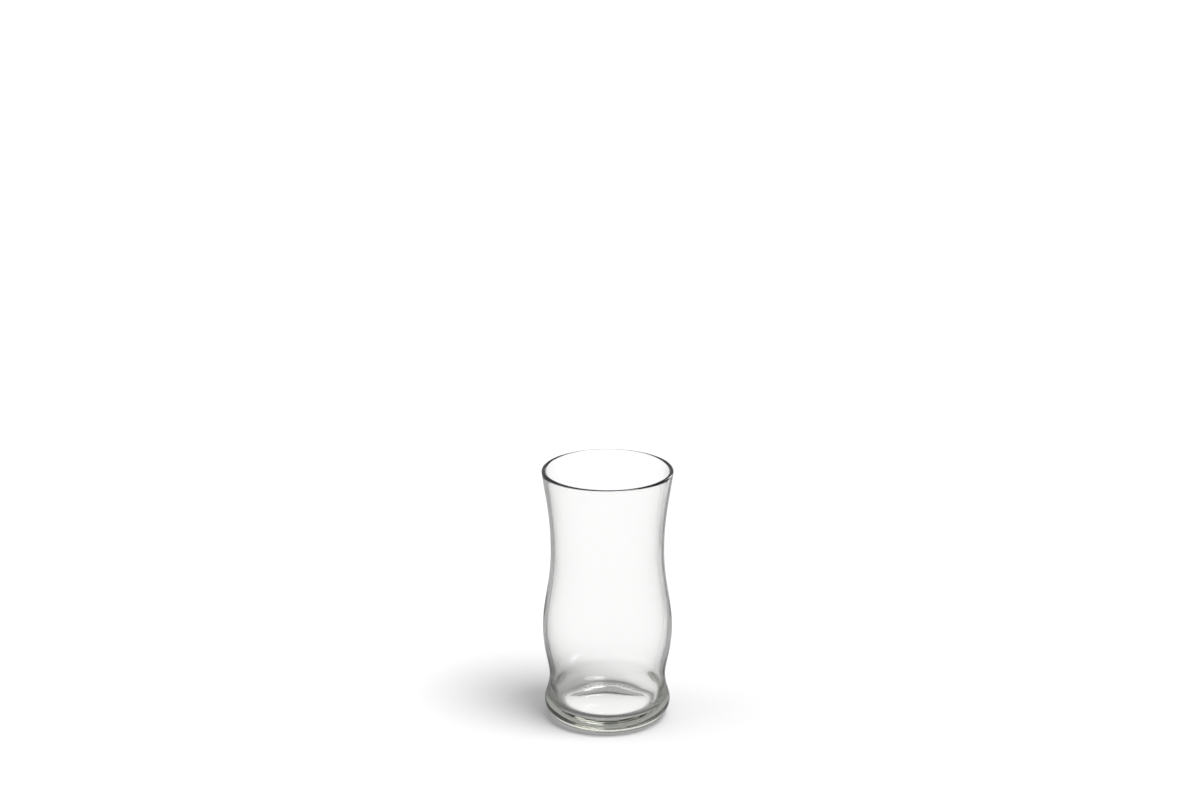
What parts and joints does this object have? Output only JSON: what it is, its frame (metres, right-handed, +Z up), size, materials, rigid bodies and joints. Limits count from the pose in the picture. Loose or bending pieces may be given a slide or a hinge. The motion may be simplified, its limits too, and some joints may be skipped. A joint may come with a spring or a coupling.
{
  "type": "glass flower vase",
  "caption": "Clear glass flower vase with a flared mouth, drawn-in neck, full belly, waist and heavy rounded foot; open at the top.",
  "frame": {"origin": "centre of the flat ring that the vase stands on, at the level of the surface under it", "axes": "+Z up along the vase's own axis of turning; X and Y are free, since the vase is the same all round but for its two mould seams"},
  "size_m": [0.1052, 0.1052, 0.21],
  "materials": {
    "clear_glass": "clear soda-lime glass, mould blown, fire-polished lip"
  },
  "bodies": {
    "root": {"glass_vase": "clear_glass"}
  },
  "joints": []
}
